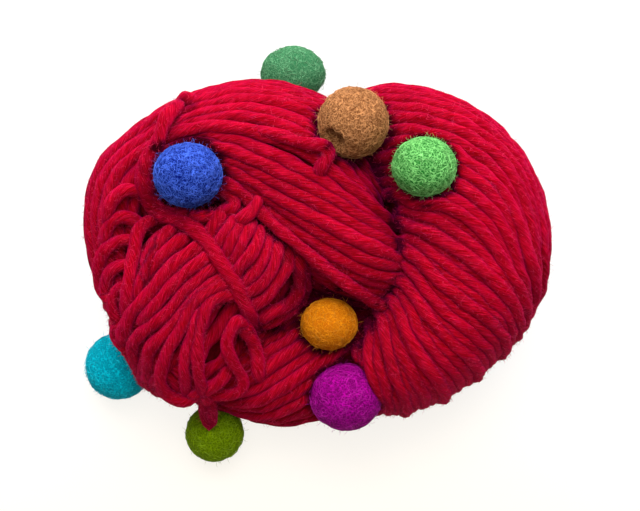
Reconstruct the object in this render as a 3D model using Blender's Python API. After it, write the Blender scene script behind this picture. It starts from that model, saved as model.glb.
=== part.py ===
"""A twisted hank of thick red wool yarn with eight felted wool balls strung on it.

The hank lies on a table. Its four lobes are bundles of strands that cross and tuck under
each other: a middle bundle, a fanned bundle on the right, a low bundle at the front, and a
bundle of end loops at the front left. A tied strand binds the end loops. Metres, +Z up;
X runs along the hank, Y away from its front, and Z = 0 is the table.
"""
import math
from collections import namedtuple

import bmesh
import bpy
from mathutils import Vector, noise
from mathutils.bvhtree import BVHTree

MM = 0.001
STRAND_WIDTH = 4.9 * MM
FAN_RIDGE = 1.4 * MM
LONG_RIDGE = 2.0 * MM
PIECE_GAP = 0.3 * MM
SINK_BELOW_TABLE = 3.0 * MM
TIE_SINK = 1.5 * MM
ROUNDNESS = 2.25
FAN_SWIRL = 0.22
FRONT_TWIST = -0.25
BALL_DETAIL = 3
SHARP_ANGLE = math.radians(40)
BALL_LUMP = 0.025

# Each row is one section of a lobe, standing upright on the line from its inner point to its
# outer point, in millimetres, with the height of its top.
Section = namedtuple("Section", "inner_x inner_y outer_x outer_y top")

MIDDLE_BUNDLE = (
    Section(-52, -28, -67, -32, 34),
    Section(-56, -12, -80, -16, 48),
    Section(-58, -2, -86, -1, 54),
    Section(-58, 10, -88, 15, 58),
    Section(-53, 15, -83, 34, 62),
    Section(-46, 16, -69, 49, 65),
    Section(-39, 14, -51, 60, 68),
    Section(-30, 10, -26, 66, 71),
    Section(-20, 3, -3, 61, 73),
    Section(-9, -8, 12, 50, 73),
    Section(2, -16, 21, 36, 71),
    Section(13, -20, 28, 22, 67),
    Section(24, -20, 33, 11, 60),
    Section(36, -14, 39, 4, 50),
)
FANNED_BUNDLE = (
    Section(6, 38, 6, 60, 54),
    Section(14, 30, 23, 65, 62),
    Section(19, 22, 41, 63, 67),
    Section(21, 14, 60, 54, 70),
    Section(22, 8, 75, 37, 72),
    Section(22, 3, 83, 18, 72),
    Section(22, -2, 85, 0, 71),
    Section(21, -8, 81, -17, 69),
    Section(20, -14, 72, -33, 66),
    Section(19, -19, 60, -45, 62),
    Section(17, -23, 46, -54, 57),
    Section(15, -27, 30, -58, 51),
    Section(13, -29, 19, -55, 45),
    Section(11, -30, 12, -49, 38),
)
FRONT_BUNDLE = (
    Section(25, -22, 27, -36, 30),
    Section(14, -14, 19, -43, 34),
    Section(2, -10, 9, -55, 38),
    Section(-11, -10, -4, -61, 43),
    Section(-25, -14, -20, -62, 45),
    Section(-38, -18, -35, -57, 42),
    Section(-50, -22, -48, -50, 36),
)
END_LOOPS = (
    Section(-14, 4, -29, 18, 58),
    Section(-10, -1, -36, 20, 63),
    Section(-6, -12, -46, 18, 65),
    Section(-11, -23, -58, 16, 65),
    Section(-21, -35, -72, 10, 63),
    Section(-27, -48, -80, -2, 59),
    Section(-40, -54, -80, -16, 53),
    Section(-53, -54, -75, -29, 45),
    Section(-60, -50, -70, -38, 36),
    Section(-64, -47, -67, -44, 26),
)

# Where the tied strand lies on the hank, seen from above, in millimetres; its ends are
# tucked in to the depth below its surface that each row gives.
TiePoint = namedtuple("TiePoint", "x y half_width depth")

TIE_ROUTE = (
    TiePoint(-47.5, 50, 2.4, 12),
    TiePoint(-49.5, 50, 2.4, 3),
    TiePoint(-52.5, 46.5, 2.4, 0),
    TiePoint(-54.5, 41, 2.4, 0),
    TiePoint(-57.5, 34.5, 2.4, 0),
    TiePoint(-62, 28, 2.4, 0),
    TiePoint(-63.5, 21, 2.4, 0),
    TiePoint(-60, 12.5, 2.4, 0),
    TiePoint(-52, 7.5, 2.6, 0),
    TiePoint(-44, 5, 2.9, 0),
    TiePoint(-37.5, -3, 3.1, 0),
    TiePoint(-32, -11, 3.1, 0),
    TiePoint(-27, -19, 3.1, 0),
    TiePoint(-24, -26, 2.8, 0),
    TiePoint(-22, -31, 2.5, 7),
)

# The balls' centres and radii, in millimetres.
Ball = namedtuple("Ball", "name x y z radius colour")

BALLS = (
    Ball("felt_ball_blue", -46.1, 22.9, 70.0, 12.6, (0.012, 0.055, 0.52)),
    Ball("felt_ball_brown", 11.7, 41.5, 70.0, 13.4, (0.36, 0.17, 0.06)),
    Ball("felt_ball_green", 36.3, 25.5, 71.5, 11.6, (0.05, 0.46, 0.09)),
    Ball("felt_ball_mustard", 3.4, -26.6, 43.5, 10.3, (0.62, 0.22, 0.008)),
    Ball("felt_ball_purple", 9.4, -52.4, 35.0, 12.9, (0.33, 0.006, 0.27)),
    Ball("felt_ball_sea_green", -10.5, 74.3, 12.0, 12.4, (0.035, 0.2, 0.1)),
    Ball("felt_ball_teal", -76.2, -39.4, 12.1, 12.5, (0.004, 0.24, 0.33)),
    Ball("felt_ball_olive", -39.8, -64.5, 10.5, 10.9, (0.13, 0.22, 0.012)),
)


def clear_objects():
    for old in list(bpy.data.objects):
        bpy.data.objects.remove(old)


def wool(name, colour):
    """A matt wool material of one colour."""
    material = bpy.data.materials.new(name)
    material.use_nodes = True
    shader = material.node_tree.nodes["Principled BSDF"]
    shader.inputs["Base Color"].default_value = (*colour, 1.0)
    shader.inputs["Roughness"].default_value = 0.9
    shader.inputs["Metallic"].default_value = 0.0
    return material


def add_object(name, shape, material=None):
    """Put a bmesh into the scene as one object, its faces pointing out."""
    bmesh.ops.recalc_face_normals(shape, faces=shape.faces)
    mesh = bpy.data.meshes.new(name)
    shape.to_mesh(mesh)
    shape.free()
    mesh.shade_smooth()
    mesh.set_sharp_from_angle(angle=SHARP_ANGLE)
    if material is not None:
        mesh.materials.append(material)
    placed = bpy.data.objects.new(name, mesh)
    bpy.context.scene.collection.objects.link(placed)
    return placed


def make_cutter(placed):
    placed.hide_render = True
    placed.display_type = "WIRE"
    return placed


def join(target, other):
    """Fuse target with other, which stays behind as a wire guide."""
    modifier = target.modifiers.new("join", "BOOLEAN")
    modifier.operation = "UNION"
    modifier.object = make_cutter(other)
    modifier.solver = "EXACT"


def cut(target, other):
    """Cut other out of target. The exact solver loses the ridged underside, this one keeps it."""
    modifier = target.modifiers.new("cut", "BOOLEAN")
    modifier.operation = "DIFFERENCE"
    modifier.object = make_cutter(other)
    modifier.solver = "MANIFOLD"


def smooth_value(before, start, end, after, share):
    """Catmull-Rom value between start and end."""
    return 0.5 * (
        2.0 * start
        + (end - before) * share
        + (2.0 * before - 5.0 * start + 4.0 * end - after) * share ** 2
        + (3.0 * start - before - 3.0 * end + after) * share ** 3
    )


def smooth_row(rows, position):
    """The row of numbers at a place along a table, from 0 at its first row to 1 at its last."""
    span = min(position, 0.999999) * (len(rows) - 1)
    index = int(span)
    picks = [rows[min(max(index + step, 0), len(rows) - 1)] for step in (-1, 0, 1, 2)]
    return [smooth_value(*column, span - index) for column in zip(*picks)]


def section_point(section, turn, lift):
    """A point on a lobe's upright section: turn 0 is its outer side, a quarter its top."""
    inner_x, inner_y, outer_x, outer_y, top = [value * MM for value in section]
    reach = Vector((outer_x - inner_x, outer_y - inner_y, 0.0)) * 0.5
    centre = Vector((outer_x + inner_x, outer_y + inner_y, top - SINK_BELOW_TABLE)) * 0.5
    half_height = (top + SINK_BELOW_TABLE) * 0.5
    angle = turn * math.tau
    across = math.copysign(abs(math.cos(angle)) ** (2.0 / ROUNDNESS), math.cos(angle))
    upward = math.copysign(abs(math.sin(angle)) ** (2.0 / ROUNDNESS), math.sin(angle))
    half_width = reach.length
    offset = reach * (across * (half_width + lift) / half_width)
    offset.z = upward * (half_height + lift)
    return centre + offset


def lobe_shape(sections, along, around, strands_run_along, twist=0.0):
    """One lobe as rings of points bridged from end to end and closed with flat ends.

    Every other line of points stands proud, so that a strand is a ridge between two valleys.
    Twist lays the strands aslant. It is the turn that strands running along a lobe make
    between its ends, or the share of its length that strands running round it move on by
    from its inner to its outer side.
    """
    shape = bmesh.new()
    rings = []
    for step in range(along + 1):
        place = step / along
        ring = []
        for column in range(around):
            turn = column / around
            if strands_run_along:
                lift = LONG_RIDGE * (column % 2)
                section = smooth_row(sections, place)
                turn += twist * place
            else:
                lift = FAN_RIDGE * (step % 2)
                outward = 0.5 * math.cos(turn * math.tau)
                section = smooth_row(sections, place + twist * outward * math.sin(math.pi * place))
            ring.append(shape.verts.new(section_point(section, turn, lift)))
        rings.append(ring)
    for first, second in zip(rings, rings[1:]):
        for turn in range(around):
            after = (turn + 1) % around
            shape.faces.new((first[turn], first[after], second[after], second[turn]))
    shape.faces.new(rings[0])
    shape.faces.new(rings[-1])
    return shape


def table_box():
    """A block under the table's surface, which cuts the hank's resting faces flat."""
    shape = bmesh.new()
    bmesh.ops.create_cube(shape, size=1.0)
    bmesh.ops.scale(shape, vec=(0.4, 0.4, 0.1), verts=shape.verts)
    bmesh.ops.translate(shape, vec=(0.0, 0.0, -0.05), verts=shape.verts)
    return add_object("table_cutter", shape)


def ball_shape(ball, growth):
    """A slightly lumpy ball with a small flat spot where it would dip under the table."""
    shape = bmesh.new()
    radius = ball.radius * MM
    bmesh.ops.create_icosphere(shape, subdivisions=BALL_DETAIL, radius=radius)
    seed = Vector((ball.x, ball.y, ball.radius))
    for vert in shape.verts:
        lump = noise.noise(vert.co / radius * 1.3 + seed)
        vert.co *= 1.0 + BALL_LUMP * lump
        vert.co *= (radius + growth) / radius
    bmesh.ops.translate(shape, vec=Vector((ball.x, ball.y, ball.z)) * MM, verts=shape.verts)
    sliced = bmesh.ops.bisect_plane(
        shape,
        geom=shape.verts[:] + shape.edges[:] + shape.faces[:],
        plane_co=(0.0, 0.0, -growth),
        plane_no=(0.0, 0.0, 1.0),
        clear_inner=True,
    )
    rim = [item for item in sliced["geom_cut"] if isinstance(item, bmesh.types.BMEdge)]
    if rim:
        bmesh.ops.contextual_create(shape, geom=rim)
    return shape


def add_ball(ball, hank):
    """One felted ball, and its seat pressed into the hank."""
    placed = add_object(ball.name, ball_shape(ball, 0.0), wool(ball.name, ball.colour))
    seat = add_object(ball.name + "_seat", ball_shape(ball, PIECE_GAP))
    cut(hank, seat)
    return placed


def top_surface(placed):
    """A function that gives the height of an object's upper side at a place in plan."""
    tree = BVHTree.FromObject(placed, bpy.context.evaluated_depsgraph_get())
    high = 0.2

    def height(x, y):
        hit = tree.ray_cast(Vector((x, y, high)), Vector((0.0, 0.0, -1.0)))[0]
        return hit.z if hit else 0.0

    return height


NEARBY = ((0, 0), (1, 0), (-1, 0), (0, 1), (0, -1))


def tie_path(height, steps):
    """Centre points and half widths of the tied strand, laid on the hank."""
    path = []
    for step in range(steps + 1):
        x, y, half_width, depth = smooth_row(TIE_ROUTE, step / steps)
        x *= MM
        y *= MM
        reach = STRAND_WIDTH * 0.5
        around = [height(x + reach * dx, y + reach * dy) for dx, dy in NEARBY]
        level = sum(around) / len(around)
        path.append((Vector((x, y, level + reach - TIE_SINK - max(depth, 0.0) * MM)), half_width * MM))
    return path


def tie_shape(path, growth, sides):
    """A flattened tube along the path."""
    shape = bmesh.new()
    rings = []
    for index, (centre, half_width) in enumerate(path):
        ahead = path[min(index + 1, len(path) - 1)][0] - path[max(index - 1, 0)][0]
        side = ahead.cross(Vector((0.0, 0.0, 1.0))).normalized()
        up = side.cross(ahead).normalized()
        ring = []
        for turn in range(sides):
            angle = math.tau * turn / sides
            across = side * math.cos(angle) * (half_width + growth)
            rise = up * math.sin(angle) * (STRAND_WIDTH * 0.5 + growth)
            ring.append(shape.verts.new(centre + across + rise))
        rings.append(ring)
    for first, second in zip(rings, rings[1:]):
        for turn in range(sides):
            after = (turn + 1) % sides
            shape.faces.new((first[turn], first[after], second[after], second[turn]))
    shape.faces.new(rings[0])
    shape.faces.new(rings[-1])
    return shape


def add_hank():
    """The middle bundle, with the other three joined to it and its underside cut flat."""
    red = wool("red_wool", (0.42, 0.002, 0.03))
    hank = add_object("hank", lobe_shape(MIDDLE_BUNDLE, 24, 60, True), red)
    fan = add_object("fanned_bundle", lobe_shape(FANNED_BUNDLE, 70, 18, False, FAN_SWIRL))
    front = add_object("front_bundle", lobe_shape(FRONT_BUNDLE, 10, 40, True, FRONT_TWIST))
    loops = add_object("end_loops", lobe_shape(END_LOOPS, 16, 52, True))
    for bundle in (fan, front, loops):
        join(hank, bundle)
    cut(hank, table_box())
    return hank


def add_tie(hank):
    """The strand that binds the end loops, in its own groove."""
    path = tie_path(top_surface(hank), 36)
    red = wool("tie_wool", (0.45, 0.002, 0.035))
    placed = add_object("tie_strand", tie_shape(path, 0.0, 10), red)
    groove = add_object("tie_groove", tie_shape(path, PIECE_GAP, 10))
    cut(hank, groove)
    return placed


def bodies_of(shape):
    """The separate bodies of a bmesh, as lists of its points, the largest first."""
    seen = set()
    bodies = []
    for start in shape.verts:
        if start in seen:
            continue
        seen.add(start)
        body = [start]
        for vert in body:
            for edge in vert.link_edges:
                other = edge.other_vert(vert)
                if other not in seen:
                    seen.add(other)
                    body.append(other)
        bodies.append(body)
    return sorted(bodies, key=len, reverse=True)


def drop_crumbs(placed):
    """Apply an object's modifiers and drop the specks that the cuts part from its ridges."""
    shape = bmesh.new()
    shape.from_object(placed, bpy.context.evaluated_depsgraph_get())
    for crumb in bodies_of(shape)[1:]:
        bmesh.ops.delete(shape, geom=crumb, context="VERTS")
    placed.modifiers.clear()
    shape.to_mesh(placed.data)
    shape.free()
    placed.data.set_sharp_from_angle(angle=SHARP_ANGLE)


def centre_on_table(pieces):
    """Move everything so that the middle of the pieces' box stands at X = 0 and Y = 0."""
    depsgraph = bpy.context.evaluated_depsgraph_get()
    corners = []
    for piece in pieces:
        evaluated = piece.evaluated_get(depsgraph)
        corners += [evaluated.matrix_world @ Vector(corner) for corner in evaluated.bound_box]
    for axis in (0, 1):
        values = [corner[axis] for corner in corners]
        middle = (min(values) + max(values)) * 0.5
        for placed in bpy.context.scene.objects:
            placed.location[axis] -= middle
    bpy.context.view_layer.update()


clear_objects()
hank_piece = add_hank()
all_pieces = [hank_piece, add_tie(hank_piece)]
all_pieces += [add_ball(ball, hank_piece) for ball in BALLS]
drop_crumbs(hank_piece)
centre_on_table(all_pieces)
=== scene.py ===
import math
import random
from collections import namedtuple

import bmesh
import bpy
import numpy as np
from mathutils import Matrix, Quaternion, Vector, noise
from mathutils.bvhtree import BVHTree


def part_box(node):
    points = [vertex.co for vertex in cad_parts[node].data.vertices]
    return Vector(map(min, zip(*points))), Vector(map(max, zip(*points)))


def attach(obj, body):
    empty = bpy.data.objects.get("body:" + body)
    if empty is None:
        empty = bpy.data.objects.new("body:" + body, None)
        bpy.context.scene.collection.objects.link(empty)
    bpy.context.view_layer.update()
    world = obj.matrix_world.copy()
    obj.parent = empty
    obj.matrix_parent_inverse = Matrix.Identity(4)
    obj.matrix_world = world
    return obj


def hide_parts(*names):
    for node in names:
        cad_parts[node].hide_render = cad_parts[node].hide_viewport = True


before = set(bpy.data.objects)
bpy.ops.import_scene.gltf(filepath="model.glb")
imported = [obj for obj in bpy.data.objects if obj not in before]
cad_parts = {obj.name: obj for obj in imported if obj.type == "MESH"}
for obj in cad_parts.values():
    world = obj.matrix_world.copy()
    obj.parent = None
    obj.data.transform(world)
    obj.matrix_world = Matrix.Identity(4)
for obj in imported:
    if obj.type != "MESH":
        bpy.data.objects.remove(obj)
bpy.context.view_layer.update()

MM = 0.001

# The hank lies on a table and is seen from almost straight above, from the height of someone
# who leans over it. Its sizes below are measured from the point under the middle of the view,
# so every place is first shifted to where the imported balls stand.
BALL_PLACES = {
    "felt_ball_blue": (-46.1, 22.9),
    "felt_ball_brown": (11.7, 41.5),
    "felt_ball_green": (36.3, 25.5),
    "felt_ball_mustard": (3.4, -26.6),
    "felt_ball_purple": (9.4, -52.4),
    "felt_ball_sea_green": (-10.5, 74.3),
    "felt_ball_teal": (-76.2, -39.4),
    "felt_ball_olive": (-39.8, -64.5),
}
VIEW_DISTANCE = 0.6
VIEW_ELEVATION = math.radians(81.7)
VIEW_HEIGHT = 32 * MM
VIEW_PIXEL = 0.37 * MM
PHOTO_WIDTH = 640
CLIP_START = 0.01


def box_middle(node):
    low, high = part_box(node)
    return (low + high) * 0.5


def measured_shift():
    """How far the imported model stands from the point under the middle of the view."""
    total = Vector((0.0, 0.0, 0.0))
    for node, (x, y) in BALL_PLACES.items():
        total += box_middle(node) - Vector((x, y, 0.0)) * MM
    shift = total / len(BALL_PLACES)
    shift.z = 0.0
    return shift


SHIFT = measured_shift()
PLAN_SHIFT = np.array(SHIFT)[0:2]


def place_object(name, data):
    """A new object in the scene, which holds the given data."""
    placed = bpy.data.objects.new(name, data)
    bpy.context.scene.collection.objects.link(placed)
    return placed


def place_camera():
    camera_data = bpy.data.cameras.new("view_from_above")
    camera = place_object("view_from_above", camera_data)
    aim = SHIFT + Vector((0.0, 0.0, VIEW_HEIGHT))
    away = Vector((0.0, -math.cos(VIEW_ELEVATION), math.sin(VIEW_ELEVATION)))
    camera.location = aim + away * VIEW_DISTANCE
    camera.rotation_euler = (-away).to_track_quat("-Z", "Y").to_euler()
    focal_pixels = VIEW_DISTANCE / VIEW_PIXEL
    camera_data.lens = camera_data.sensor_width * focal_pixels / PHOTO_WIDTH
    camera_data.clip_start = CLIP_START
    bpy.context.scene.camera = camera


place_camera()


# The table is a sheet of paper that glows with painted light, so that it shows white and shadows on
# it stay faint, and it shades off to a faint cream towards the front. A wide soft lamp stands
# behind the hank, a weaker one above it, and the room is pale all round.
FLOOR_HALF = 6.0
FLOOR_DROP = 0.2 * MM
# painted light: the paper's glow keeps it white and the shadows on it faint
PAPER_PAINTED_GLOW = 0.86
PAPER_GREY = (0.15, 0.147, 0.14, 1.0)
WHITE = (1.0, 1.0, 1.0)
CREAM = (1.0, 0.93, 0.80)
CREAM_FULL_AT = -0.11
CREAM_WAVER = 0.04
ROOM_COLOUR = (1.0, 0.985, 0.98, 1.0)
ROOM_STRENGTH = 0.12
LAMP_AIM = Vector((0.0, 0.0, 0.03))
Lamp = namedtuple("Lamp", "name place size power colour")
LAMPS = (
    Lamp("window_behind", (0.06, 1.0, 0.90), 2.0, 47.0, (1.0, 0.97, 1.0)),
    Lamp("soft_overhead", (0.0, 0.2, 1.3), 1.2, 18.0, (1.0, 0.99, 0.98)),
)


def set_inputs(node, **values):
    """Set a node's inputs, whose names have an underscore for each space."""
    for name, value in values.items():
        node.inputs[name.replace("_", " ")].default_value = value


def add_node(tree, kind, **settings):
    """A shader node with its settings; a setting named in the node's inputs is set there."""
    made = tree.nodes.new(kind)
    for name, value in settings.items():
        if name.replace("_", " ") in made.inputs:
            set_inputs(made, **{name: value})
        else:
            setattr(made, name, value)
    return made


def new_material(name, **finish):
    """A material with its node tree and its Principled shader, whose inputs the finish sets."""
    material = bpy.data.materials.new(name)
    material.use_nodes = True
    shader = material.node_tree.nodes["Principled BSDF"]
    set_inputs(shader, **finish)
    return material, material.node_tree, shader


def add_mesh_object(name, shape, material, smooth=True):
    """Turn a bmesh into a placed object with one material."""
    mesh = bpy.data.meshes.new(name)
    shape.to_mesh(mesh)
    shape.free()
    if smooth:
        mesh.shade_smooth()
    mesh.materials.append(material)
    return place_object(name, mesh)


def object_place(tree):
    """Places on a piece, in metres."""
    return add_node(tree, "ShaderNodeTexCoord").outputs["Object"]


def value_node(tree, operation, first, second=0.0, third=0.0):
    """A math node in a shader; its inputs are numbers or other nodes' outputs."""
    made = add_node(tree, "ShaderNodeMath", operation=operation)
    for socket, value in zip(made.inputs, (first, second, third)):
        if isinstance(value, (int, float)):
            socket.default_value = value
        else:
            tree.links.new(value, socket)
    return made.outputs[0]


def noise_node(tree, vector, scale, detail=2.0, roughness=0.5):
    made = add_node(tree, "ShaderNodeTexNoise", Scale=scale, Detail=detail, Roughness=roughness)
    tree.links.new(vector, made.inputs["Vector"])
    return made.outputs["Fac"]


def colour_ramp(tree, factor, stops):
    """A colour ramp through the given stops of place and colour."""
    made = add_node(tree, "ShaderNodeValToRGB")
    elements = made.color_ramp.elements
    while len(elements) < len(stops):
        elements.new(0.5)
    for element, (place, colour) in zip(elements, stops):
        element.position = place
        element.color = (*colour, 1.0)
    tree.links.new(factor, made.inputs["Fac"])
    return made.outputs["Color"]


def paper_material():
    """Grey paper that glows with painted light so that it shows white, with a cream tint towards
    the front.
    """
    material, tree, shader = new_material(
        "white_paper", Roughness=0.9, Base_Color=PAPER_GREY, Emission_Strength=PAPER_PAINTED_GLOW,
        Specular_IOR_Level=0.0,
    )
    where = object_place(tree)
    split = add_node(tree, "ShaderNodeSeparateXYZ")
    tree.links.new(where, split.inputs["Vector"])
    grain = noise_node(tree, where, 9.0, 3.0)
    waver = value_node(tree, "MULTIPLY_ADD", grain, CREAM_WAVER, split.outputs["Y"])
    spread = add_node(tree, "ShaderNodeMapRange", From_Min=CREAM_FULL_AT, From_Max=0.0)
    tree.links.new(waver, spread.inputs["Value"])
    tint = colour_ramp(tree, spread.outputs["Result"], ((0.0, CREAM), (1.0, WHITE)))
    tree.links.new(tint, shader.inputs["Emission Color"])
    return material


def add_floor():
    shape = bmesh.new()
    bmesh.ops.create_grid(shape, x_segments=1, y_segments=1, size=FLOOR_HALF)
    bmesh.ops.translate(shape, vec=(0.0, 0.0, -FLOOR_DROP), verts=shape.verts)
    floor = add_mesh_object("paper_floor", shape, paper_material(), smooth=False)


def add_lamp(lamp):
    lamp_data = bpy.data.lights.new(lamp.name, "AREA")
    lamp_data.shape = "DISK"
    lamp_data.size = lamp.size
    lamp_data.energy = lamp.power
    lamp_data.color = lamp.colour
    placed = place_object(lamp.name, lamp_data)
    placed.location = lamp.place
    placed.rotation_euler = (LAMP_AIM - Vector(lamp.place)).to_track_quat("-Z", "Y").to_euler()


def light_room():
    world = bpy.data.worlds.new("pale_room")
    world.use_nodes = True
    set_inputs(world.node_tree.nodes["Background"], Color=ROOM_COLOUR, Strength=ROOM_STRENGTH)
    bpy.context.scene.world = world
    for lamp in LAMPS:
        add_lamp(lamp)


add_floor()
light_room()
bpy.context.scene.view_settings.view_transform = "Standard"


# The middle bundle is the part of the twisted hank that crosses over the middle. It is soft
# spun wool, about forty strands lying side by side, which come from the left end over the top
# and dive under the fanned bundle. Nothing but the twist holds them.
STRAND = 4.9 * MM
STRAND_SIDES = 3
TWIST_PITCH = 0.028
# painted shade: how much the wool's colour darkens where its sky is hidden
PAINTED_SHADE_DEPTH = 0.92
SKIN_SAMPLES = 145
SINK_BELOW_TABLE = 3.0
ROUNDNESS = 2.25
THINNEST = 0.4
HIDDEN_DEPTH = 7.5 * MM
FEWEST_POINTS = 4
PATH_STEP = 2.2 * MM
GUIDE_STEPS = 110
NEIGHBOUR_STEPS = 10
MOST_CROWDED = 0.75
PRESSED_LEVELS = (0.0, 2.0, 1.0, 2.0)
END_TUCK = 0.05
END_DIP = 4.0
BALL_PRESS = 0.92
PIT_PRESS = 0.9
Section = namedtuple("Section", "inner_x inner_y outer_x outer_y top")
MIDDLE_BUNDLE = (
    Section(-52, -28, -67, -32, 34),
    Section(-56, -12, -80, -16, 48),
    Section(-58, -2, -86, -1, 54),
    Section(-58, 10, -88, 15, 58),
    Section(-53, 15, -83, 34, 62),
    Section(-46, 16, -68, 47.8, 65),
    Section(-39, 14, -50.5, 58.4, 68),
    Section(-30, 10, -26, 64.3, 71),
    Section(-20, 3, -3, 59.8, 73),
    Section(-9, -8, 10, 50, 73),
    Section(2, -16, 17, 36, 71),
    Section(13, -20, 24, 22, 67),
    Section(24, -20, 30, 11, 60),
    Section(35, -15, 37, 4, 50),
)

hank_mesh = bmesh.new()
hank_mesh.from_mesh(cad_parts["hank"].data)
bmesh.ops.remove_doubles(hank_mesh, verts=hank_mesh.verts, dist=1e-6)
HANK_SKIN = BVHTree.FromBMesh(hank_mesh)
hank_mesh.free()
BALLS = [
    (box_middle(node), max(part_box(node)[1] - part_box(node)[0]) * 0.5) for node in BALL_PLACES
]


# Where the bundles part, a pit stays open between them, in millimetres from its top down.
Pit = namedtuple("Pit", "x y top radius depth")
PITS = (
    Pit(25.0, 13.6, 60, 2.8, 16),
    Pit(27.6, 4.6, 60, 1.8, 14),
    Pit(27.8, -2.5, 60, 1.3, 14),
    Pit(27.0, -9.5, 60, 1.1, 14),
    Pit(-37.5, -37.0, 56, 2.6, 12),
)


def smooth_rows(rows, places):
    """Rows of a table read on a smooth curve, at places from 0 at its start to 1 at its end."""
    table = np.array(rows, float)
    span = np.clip(places, 0.0, 0.999999) * (len(table) - 1)
    index = span.astype(int)
    share = (span - index)[:, None]
    last = len(table) - 1
    before = table[np.clip(index - 1, 0, last)]
    start = table[index]
    end = table[np.clip(index + 1, 0, last)]
    after = table[np.clip(index + 2, 0, last)]
    return 0.5 * (
        2.0 * start
        + (end - before) * share
        + (2.0 * before - 5.0 * start + 4.0 * end - after) * share ** 2
        + (3.0 * start - before - 3.0 * end + after) * share ** 3
    )


def skin_rings(rows, places, lifts):
    """Closed rings of points round a bundle, one for each place, lifted off its solid skin."""
    table = smooth_rows(rows, places)
    inner = table[:, 0:2]
    outer = table[:, 2:4]
    top = table[:, 4]
    reach = (outer - inner) * 0.5
    half_width = np.linalg.norm(reach, axis=1)
    angle = np.linspace(0.0, math.tau, SKIN_SAMPLES)
    power = 2.0 / ROUNDNESS
    across = np.sign(np.cos(angle)) * np.abs(np.cos(angle)) ** power
    upward = np.sign(np.sin(angle)) * np.abs(np.sin(angle)) ** power
    wide = np.maximum(half_width + lifts, THINNEST)[:, None] * across
    rings = np.empty((len(places), SKIN_SAMPLES, 3))
    rings[:, :, 0:2] = ((outer + inner) * 0.5)[:, None, :]
    rings[:, :, 0:2] += (reach / half_width[:, None])[:, None, :] * wide[:, :, None]
    high = np.maximum((top + SINK_BELOW_TABLE) * 0.5 + lifts, THINNEST)[:, None] * upward
    rings[:, :, 2] = ((top - SINK_BELOW_TABLE) * 0.5)[:, None] + high
    return rings * MM + np.array(SHIFT)


def on_skin(rows, places, turns, lifts):
    """Points on a bundle: place along it, turn round it by length, and lift in millimetres."""
    rings = skin_rings(rows, places, lifts)
    steps = np.linalg.norm(np.diff(rings, axis=1), axis=2)
    walked = np.concatenate([np.zeros((len(places), 1)), np.cumsum(steps, axis=1)], axis=1)
    goals = (turns % 1.0) * walked[:, -1]
    points = np.empty((len(places), 3))
    for index, goal in enumerate(goals):
        for axis in range(3):
            points[index, axis] = np.interp(goal, walked[index], rings[index, :, axis])
    return points


def wander(rng, steps, size, waves):
    """A slow wave of about the given size, to keep a strand from lying dead straight."""
    along = np.linspace(0.0, math.tau, steps)
    total = np.zeros(steps)
    for wave in range(1, waves + 1):
        total += np.sin(along * wave * rng.uniform(0.6, 1.3) + rng.uniform(0.0, math.tau)) / wave
    return total * size * 0.7


def curve_through(rows, count):
    """The rows of a table on a smooth curve, in so many even steps."""
    return smooth_rows(rows, np.linspace(0.0, 1.0, count))


def walked_along(points):
    """Length walked from a path's start to each of its points."""
    return np.concatenate([[0.0], np.cumsum(np.linalg.norm(np.diff(points, axis=0), axis=1))])


def even_steps(points, step):
    """The same path with its points a fixed step apart."""
    walked = walked_along(points)
    count = max(int(walked[-1] / step), 3)
    goals = np.linspace(0.0, walked[-1], count + 1)
    return np.stack([np.interp(goals, walked, points[:, axis]) for axis in range(3)], axis=1)


def eased(rows, times=1):
    """The same rows, each drawn a little towards its neighbours."""
    rows = rows.copy()
    for _ in range(times):
        rows[1:-1] = rows[:-2] * 0.25 + rows[1:-1] * 0.5 + rows[2:] * 0.25
    return rows


def settle(points, radius):
    """Push a strand out of the balls and pits and up off the table, then ease its kinks."""
    points = points.copy()
    for centre, ball_radius in BALLS:
        middle = np.array(centre)
        offset = points - middle
        far = np.linalg.norm(offset, axis=1)
        clear = ball_radius + radius * BALL_PRESS
        close = far < clear
        points[close] = middle + offset[close] / far[close, None] * clear
    for pit in PITS:
        middle = SHIFT + Vector((pit.x, pit.y, pit.top)) * MM
        offset = points[:, 0:2] - np.array(middle)[0:2]
        far = np.linalg.norm(offset, axis=1)
        clear = pit.radius * MM + radius * PIT_PRESS
        close = (far < clear) & (points[:, 2] > middle.z - pit.depth * MM)
        points[close, 0:2] += offset[close] / far[close, None] * (clear - far[close, None])
    points[:, 2] = np.maximum(points[:, 2], radius)
    return eased(points)


def showing_runs(points):
    """The stretches of a path that don't lie deep inside the hank."""
    runs = [[]]
    for point in points:
        nearest, normal, _, distance = HANK_SKIN.find_nearest(Vector(point))
        inside = (Vector(point) - nearest).dot(normal) < 0.0
        if inside and distance > HIDDEN_DEPTH:
            runs.append([])
        else:
            runs[-1].append(point)
    return [np.array(run) for run in runs if len(run) >= FEWEST_POINTS]


# A strand's cross-section isn't round: each swell has so many lobes, a size as a share of the
# radius, and a wave length in metres at which it drifts round the strand, or none.
Swell = namedtuple("Swell", "lobes size wave")
SWELLS = (
    Swell(2, 0.07, None), Swell(3, 0.035, 0.013), Swell(1, 0.035, 0.007), Swell(2, 0.03, 0.004),
)


def uneven_ring(points, path, ring, rng, flat):
    """Make a tube's round cross-sections uneven, turning slowly with the strand's twist."""
    rings = points.reshape(len(path), ring, 3)
    offset = rings - path[:, None, :]
    walked = walked_along(path)
    angle = np.linspace(0.0, math.tau, ring, endpoint=False)[None, :]
    turned = angle + (walked * math.tau / TWIST_PITCH)[:, None]
    thickness = np.ones(angle.shape)
    for swell in SWELLS:
        phase = rng.uniform(0.0, math.tau)
        drift = (walked / swell.wave)[:, None] if swell.wave else 0.0
        thickness = thickness + swell.size * np.sin(swell.lobes * turned + drift + phase)
    offset = offset * thickness[:, :, None]
    offset[:, :, 2] *= flat
    return (path[:, None, :] + offset).reshape(-1, 3)


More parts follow.
